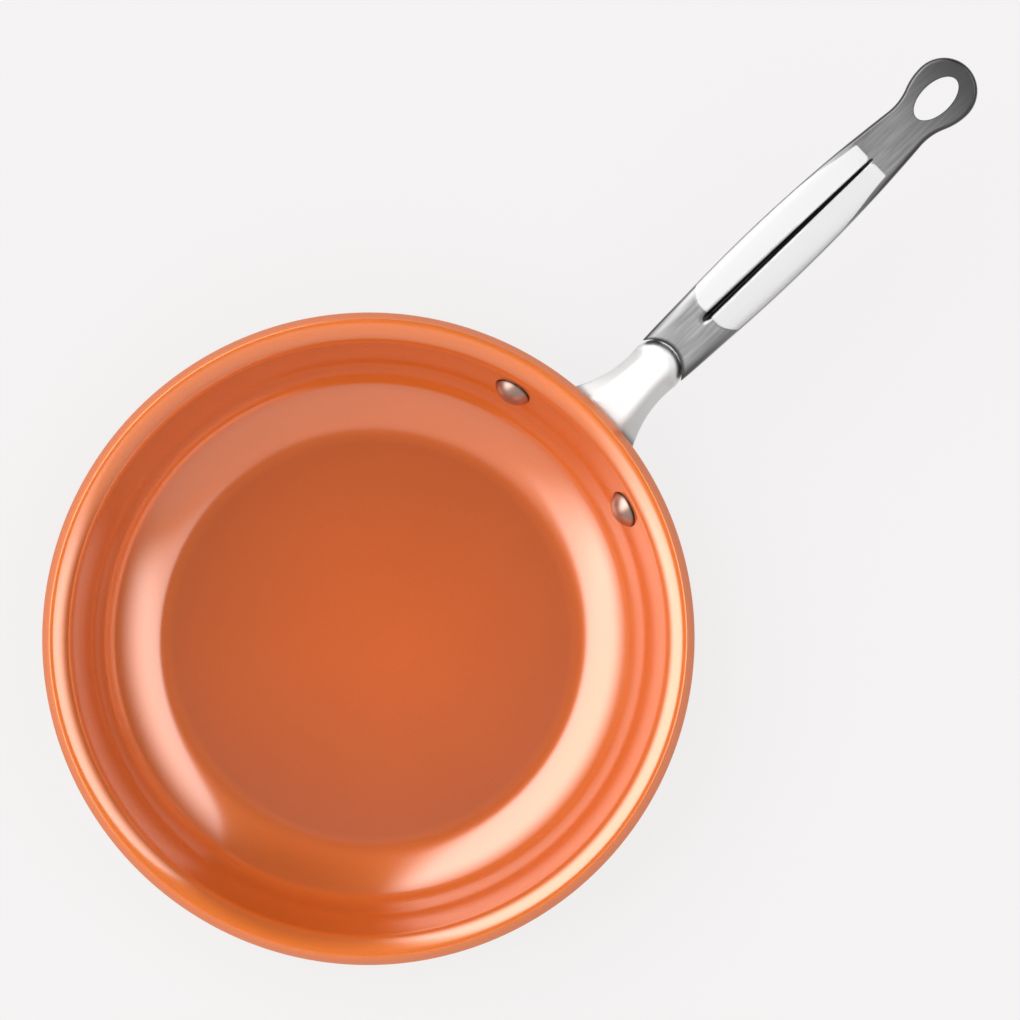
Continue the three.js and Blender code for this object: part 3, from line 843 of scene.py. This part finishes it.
def grip_ring(distance, inset):
    """One ring of the grip, and for each of its points the shares of pillow highlight, groove shade and
    painted shade at the edges, the mouth and the eye.
    """
    half_width = max(grip_half_width(distance), 0.01)
    flattened = ramp_up(distance, fillet_start - flattening, fillet_start)
    plate = ramp_up(distance, groove_end - plate_before_end, groove_end + plate_after_end)
    top = blended(grip_top, eye_half_thickness, flattened)
    bottom = blended(grip_bottom, eye_half_thickness, flattened)
    groove = groove_half(distance)
    grooved = ramp_up(distance, groove_start - groove_before_start, groove_start + groove_full_after)
    grooved *= 1 - ramp_up(distance, groove_end - groove_fades_before, groove_end + groove_gone_after)
    depth = groove_depth * blended(1, groove_depth_at_end, flattened) * grooved

    def from_side(across):
        if distance < eye_centre:
            return half_width - np.abs(across)
        return eye_radius - np.hypot(distance - eye_centre, across)

    def plate_edge(across):
        share = np.clip(from_side(across) / eye_edge, 0, 1)
        return np.sqrt(np.maximum(1 - (1 - share) ** 2, 0))

    def valley(across):
        return np.maximum(1 - (across / groove) ** 2, 0) ** 2

    def top_of(across):
        flat = rounded(across / half_width, flatness)
        lift = pillow_share(distance, across, half_width)[0]
        pillow = top + lift * (pillow_lift - pillow_slope * np.abs(across))
        return blended(pillow * flat, top * plate_edge(across), plate) - depth * valley(across)

    def bottom_of(across):
        tube = rounded(across / half_width, grip_under_power)
        return bottom * blended(tube, plate_edge(across), plate)

    beside = min(groove / half_width, widest_groove_share)
    outer = top_shares[len(near_middle):] - top_shares[len(near_middle)]
    in_groove = beside * np.linspace(0, 1, 9)[:-1]
    shares = np.concatenate([in_groove, blended(beside, 1, outer / outer[-1])])
    across, height = closed_section(half_width, top_of, bottom_of, shares)
    along, within = pillow_share(distance, across, half_width)
    upper = np.arange(len(across)) < 2 * len(shares) - 1
    # Painted shade on the top: near its sides towards the eye and at the mouth, over the flattened end and
    # at the mouth's lip.
    near_edge = 1 - ramp_up(from_side(across), 0, darkened_edge)
    towards_eye = ramp_up(distance, groove_end - darkened_before_end, groove_end + plate_after_end)
    at_mouth = mouth_shade * (1 - ramp_up(distance, mouth, groove_start + mouth_shade_length))
    darkened = near_edge * max(towards_eye, at_mouth)
    darkened = np.maximum(darkened, eye_shade * ramp_up(distance, groove_end, line_length))
    darkened = np.maximum(darkened, 1 - ramp_up(distance, mouth + dark_lip[0], mouth + dark_lip[1]))
    darkened = darkened * ramp_up(height, 0, darkened_height * top)
    # The groove is painted dark as shade.
    groove_shaded = ramp_up(distance, groove_start - groove_shade_before_start, groove_start)
    groove_shaded *= 1 - ramp_up(distance, groove_end, groove_end + groove_shade_after_end)
    finish_and_painted_light = np.column_stack([along * within * upper, groove_shaded * valley(across) * upper, darkened])
    bow = 1 - ramp_up(distance, mouth, groove_start)
    across = across * (1 - inset / half_width)
    height = np.where(height > 0, height * (1 - inset / top), height * (1 - inset / bottom))
    return handle_ring(distance, across, height, bow * sagitta(bow_radius, across)), finish_and_painted_light


def grip():
    """The tube from its closed inner end, out around the lip and on to the tip. The rings stand closer where
    the form changes quickly."""
    lip = np.linspace(0, math.pi, 7)
    half_wall = tube_wall / 2
    inner = np.concatenate([np.linspace(hollow_end, mouth + 4, 50), [mouth + 2, mouth + 1]])
    rings = [grip_ring(distance, tube_wall) for distance in inner]
    for turn in lip:
        rings.append(grip_ring(mouth + half_wall * (1 - math.sin(turn)), half_wall * (1 + math.cos(turn))))
    tip_turns = np.linspace(0, math.pi / 2 - 0.02, 26)
    outer = np.concatenate([
        np.linspace(mouth + 1, groove_start - 6, 14),
        np.linspace(groove_start - 5.5, groove_start + 10, 32),
        np.linspace(groove_start + 11, groove_end - 10, 60),
        np.linspace(groove_end - 9.5, groove_end + 5, 30),
        np.linspace(groove_end + 6, eye_centre, 40),
        eye_centre + eye_radius * np.sin(tip_turns[1:]),
    ])
    rings += [grip_ring(distance, 0) for distance in outer]
    points, faces = skin([ring for ring, _ in rings])
    return points, faces, np.concatenate([finish_and_painted_light for _, finish_and_painted_light in rings])


def eye_cutter():
    """Oval pin through the flattened end, flared at both faces so that it leaves a rounded edge."""
    turns = np.linspace(0, 2 * math.pi, 96, endpoint=False)
    straight_half = eye_half_thickness - eye_hole_rounding
    flare = np.linspace(0, eye_hole_flare, 6)
    levels = straight_half + eye_hole_rounding * np.sin(flare)
    widths = eye_hole_rounding * (1 - np.cos(flare))
    steps = list(zip(levels, widths))
    steps.append((levels[-1] + math.cos(eye_hole_flare), widths[-1] + math.sin(eye_hole_flare)))
    wall = [(level, 0) for level in np.linspace(-straight_half, straight_half, 6)[1:-1]]
    rows = [(-level, grow) for level, grow in steps[::-1]] + wall + steps
    middle = on_line(eye_centre - eye_hole_setback)
    ahead = on_line(eye_centre) - middle
    ahead = ahead / np.linalg.norm(ahead)
    rings = []
    for level, grow in rows:
        along = (eye_hole_length / 2 + grow) * np.cos(turns)
        across = (eye_hole_width / 2 + grow) * np.sin(turns)
        x = middle[0] + ahead[0] * along - ahead[1] * level
        z = middle[1] + ahead[1] * along + ahead[0] * level
        rings.append(np.column_stack([x, across, z]))
    return *skin(rings), np.concatenate(rings[len(steps):-len(steps)])


def brushed_steel():
    material, tree = blank_finish("brushed_stainless")
    place = own_place(tree)
    along_x = joined(
        tree, "ShaderNodeVectorRotate", {"rotation_type": "Y_AXIS"}, Vector=place, Angle=grip_slope
    )
    fineness = (brush_length_fineness, brush_width_fineness, brush_width_fineness)
    drawn_out = vector_math(tree, "MULTIPLY", along_x.outputs[0], fineness).outputs[0]
    streak = noise(tree, drawn_out, 1, 3)
    cloud = noise(tree, place, grip_cloud_fineness, 2)
    shares = finish_and_painted_light_shares(tree)
    tone = ramped(tree, streak, tuple(zip(noise_ends, brushed_tones)))
    roughness = spread(tree, cloud, (0, 1), brushed_roughness)
    # Painted shade, the pillows' painted highlight and the groove's painted shade, each with its roughness.
    for channel, ends, colour, own_roughness in (painted_shade_layer, pillow_highlight_layer, groove_shade_layer):
        share = spread(tree, shares[channel], ends)
        tone = mixed_tone(tree, share, tone, colour)
        roughness = joined(tree, "ShaderNodeMix", _0=share, _2=roughness, _3=own_roughness).outputs[0]
    dressed(material, tone, roughness, 1, relief(tree, streak, *brush_relief))
    return material


grip_points, grip_faces, grip_finish_and_painted_light = grip()
pin_points, pin_faces, eye_wall = eye_cutter()
eye_pin = mesh_piece("eye_pin", pin_points, pin_faces)
uncut_grip = mesh_piece("handle_grip_pressed", grip_points, grip_faces, grip_finish_and_painted_light)
handle_grip = combined(uncut_grip, eye_pin, "DIFFERENCE")
plain_wall = np.zeros((len(eye_wall), 3))
cut_finish_and_painted_light = np.concatenate([grip_finish_and_painted_light, plain_wall])
keep_finish_and_painted_light(handle_grip, np.concatenate([grip_points, eye_wall]), cut_finish_and_painted_light)
handle_grip.data.materials.append(brushed_steel())
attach(handle_grip, "root")
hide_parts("handle_grip")

# Rivets
# Two solid steel rivets through wall and pad: a polished domed head inside the pan, and a tail that is
# closed flat on the pad. The seats follow the curve of the wall.
rivet_across = 32
rivet_below_bend = 8.2
rivet_seat = wall_top - rivet_below_bend * up_wall
head_radius = 7.5
head_height = 4.8
head_rim = 0.5
dark_rim = 0.5
shank_radius = 3
tail_radius = 5.25
tail_height = 2
tail_rounding = 1.2
# A painted shadow darkens the head's rim.
rim_painted_shadow = (0.05, 0.03, 0.025, 1)
# Steel tones tinted copper-pink as a painted reflection of the pan.
rivet_tones_with_copper_reflection = ((0.43, 0.27, 0.22), (0.59, 0.40, 0.34))
rivet_smear_fineness = 320
rivet_roughness = (0.28, 0.38)


def rivet_profile():
    dome = head_height - head_rim
    sphere = (head_radius**2 + dome**2) / (2 * dome)
    head = arc((0, head_height - sphere), sphere, math.pi / 2, math.asin((sphere - dome) / sphere), 16)
    tail_face = -pad_outside - tail_height
    corner = (tail_radius - tail_rounding, tail_face + tail_rounding)
    return [
        *head,
        (head_radius, 0),
        (shank_radius, 0),
        (shank_radius, -pad_outside),
        (tail_radius, -pad_outside),
        *arc(corner, tail_rounding, 0, -math.pi / 2, 6),
        (0, tail_face),
    ]


def rivet(name, side):
    points, faces = turned(rivet_profile(), 64)
    reach = np.hypot(points[:, 0], points[:, 1])
    on_head = points[:, 2] > -0.01
    # A painted shadow around the head's rim, where it meets the wall.
    rim = ramp_up(reach, head_radius - dark_rim, head_radius) * on_head
    finish_and_painted_light = np.column_stack([np.zeros((len(rim), 2)), rim])
    on_seat = np.isin(np.round(points[:, 2], 6), np.round([0, -pad_outside], 6))
    points[on_seat, 2] += sagitta(rivet_seat[0], points[on_seat, 0])
    azimuth = side * math.asin(rivet_across / rivet_seat[0])
    outwards = np.array([math.cos(azimuth), math.sin(azimuth), 0])
    around = np.array([-math.sin(azimuth), math.cos(azimuth), 0])
    into_pan = outwards * wall_normal[0] + np.array([0, 0, wall_normal[1]])
    up_pan = np.cross(into_pan, around)
    seat = outwards * rivet_seat[0] + np.array([0, 0, rivet_seat[1]])
    return mesh_piece(name, points @ np.array([around, up_pan, into_pan]) + seat, faces, finish_and_painted_light)


def polished_steel():
    material, tree = blank_finish("polished_rivet")
    smear = noise(tree, own_place(tree), rivet_smear_fineness, 3)
    # Smeared steel tones, tinted as a painted reflection of the copper, with a painted shadow at the rim.
    tone = ramped(tree, smear, ((0, rivet_tones_with_copper_reflection[0]), (1, rivet_tones_with_copper_reflection[1])))
    tone = mixed_tone(tree, finish_and_painted_light_shares(tree)["Blue"], tone, rim_painted_shadow)
    dressed(material, tone, spread(tree, smear, (0, 1), rivet_roughness), 1)
    return material


rivet_finish = polished_steel()
for node, side in (("rivet_left", 1), ("rivet_right", -1)):
    closed_rivet = rivet(node + "_closed", side)
    closed_rivet.data.materials.append(rivet_finish)
    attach(closed_rivet, "root")
    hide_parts(node)

# Studio
# A pale floor sheet that keeps its own brightness in view and takes the pan's soft shadow, a grey dome with
# three soft boxes, a soft front light, and the camera nearly straight above the pan. A box is its level and
# its straight edges: for each the side that it faces, its angle from overhead and its softness, in degrees.
floor_half_width = 6.0
floor_drop = 0.0002
floor_paint = (0.874, 0.859, 0.859, 1)
floor_own_light = 0.92
floor_roughness = 0.9
floor_gloss = 0.1
right_box = (2.6, ((-33, 4.2, 1.2), (70, 0, 6), (194, -52, 26)))
left_box = (3.2, ((155, 13, 4), (186, 6.5, 5), (118, 0, 13), (335, -70, 18)))
front_box = (0.52, ((265, 2, 5), (285, 0, 12), (245, 0, 10), (85, -95, 35)))
front_light_turn = math.radians(270)
front_light_lean = math.radians(45)
front_light_spread = math.radians(60)
front_light_power = 0.85
dome_levels = ((0.0, 0.16), (0.2, 0.12), (0.5, 0.10), (0.97, 0.06))
camera_roll = math.radians(43.3)
camera_place = Vector((0.0371, -0.0191, 1.3006))
camera_tilt = math.radians(3.118)
camera_lean = math.radians(0.813)
camera_sensor = 36
camera_lens = 114.04


def seen_directly(tree):
    """1 where the camera, a mirror image or clear material looks at a surface, 0 where it lights others."""
    path = joined(tree, "ShaderNodeLightPath").outputs
    seen = path["Is Camera Ray"]
    for ray in ("Is Glossy Ray", "Is Transmission Ray"):
        seen = number_math(tree, "MAXIMUM", seen, path[ray])
    return seen


def floor_finish():
    material, tree = blank_finish("pale_floor")
    paint = tree.nodes["Principled BSDF"]
    paint.inputs["Base Color"].default_value = floor_paint
    paint.inputs["Roughness"].default_value = floor_roughness
    paint.inputs["Specular IOR Level"].default_value = floor_gloss
    glow = joined(tree, "ShaderNodeEmission", Color=floor_paint, Strength=1.0)
    share = number_math(tree, "MULTIPLY", seen_directly(tree), floor_own_light)
    mix = joined(tree, "ShaderNodeMixShader", Fac=share, _1=paint.outputs[0], _2=glow.outputs[0])
    tree.links.new(mix.outputs[0], tree.nodes["Material Output"].inputs["Surface"])
    return material


def soft_box(tree, way, level, edges):
    """Light of one soft box. Its sides turn left from the right side of the picture."""
    light = level
    for side, overhead, softness in edges:
        turn = math.radians(side) - camera_roll
        lean = math.radians(overhead)
        facing = (math.cos(lean) * math.cos(turn), math.cos(lean) * math.sin(turn), -math.sin(lean))
        soft = math.sin(math.radians(softness))
        inside = vector_math(tree, "DOT_PRODUCT", way, facing).outputs["Value"]
        smooth = {"interpolation_type": "SMOOTHSTEP"}
        share = joined(tree, "ShaderNodeMapRange", smooth, Value=inside, _1=-soft, _2=soft)
        light = number_math(tree, "MULTIPLY", share.outputs[0], light)
    return light


def studio_dome():
    world = bpy.data.worlds.new("studio_dome")
    world.use_nodes = True
    tree = world.node_tree
    way = joined(tree, "ShaderNodeTexCoord").outputs["Generated"]
    height = joined(tree, "ShaderNodeSeparateXYZ", Vector=way).outputs["Z"]
    light = ramped(tree, height, [(share, 3 * (level,)) for share, level in dome_levels])
    for level, edges in (right_box, left_box, front_box):
        light = vector_math(tree, "ADD", light, soft_box(tree, way, level, edges)).outputs[0]
    tree.links.new(light, tree.nodes["Background"].inputs["Color"])
    bpy.context.scene.world = world


def front_light():
    """Soft light from the near side, which brightens the coat without a mirror image of its own."""
    lamp = bpy.data.lights.new("front_light", "SUN")
    lamp.energy = front_light_power
    lamp.angle = front_light_spread
    holder = bpy.data.objects.new("front_light", lamp)
    bpy.context.scene.collection.objects.link(holder)
    facing = Matrix.Rotation(front_light_turn - camera_roll + math.pi / 2, 4, "Z")
    holder.matrix_world = facing @ Matrix.Rotation(front_light_lean, 4, "X")
    holder.visible_glossy = False


floor_sides = ((-1, -1), (1, -1), (1, 1), (-1, 1))
corners = [(x * floor_half_width, y * floor_half_width, -floor_drop) for x, y in floor_sides]
floor_mesh = bpy.data.meshes.new("studio_floor")
floor_mesh.from_pydata(corners, [], [(0, 1, 2, 3)])
floor_mesh.materials.append(floor_finish())
studio_floor = bpy.data.objects.new("studio_floor", floor_mesh)
bpy.context.scene.collection.objects.link(studio_floor)
studio_dome()
front_light()

camera_data = bpy.data.cameras.new("camera")
camera_data.sensor_fit = "HORIZONTAL"
camera_data.sensor_width = camera_sensor
camera_data.lens = camera_lens
camera = bpy.data.objects.new("camera", camera_data)
bpy.context.scene.collection.objects.link(camera)
camera.matrix_world = (
    Matrix.Rotation(-camera_roll, 4, "Z")
    @ Matrix.Translation(camera_place)
    @ Matrix.Rotation(camera_tilt, 4, "X")
    @ Matrix.Rotation(-camera_lean, 4, "Y")
)
bpy.context.scene.camera = camera
bpy.context.scene.view_settings.view_transform = "Standard"
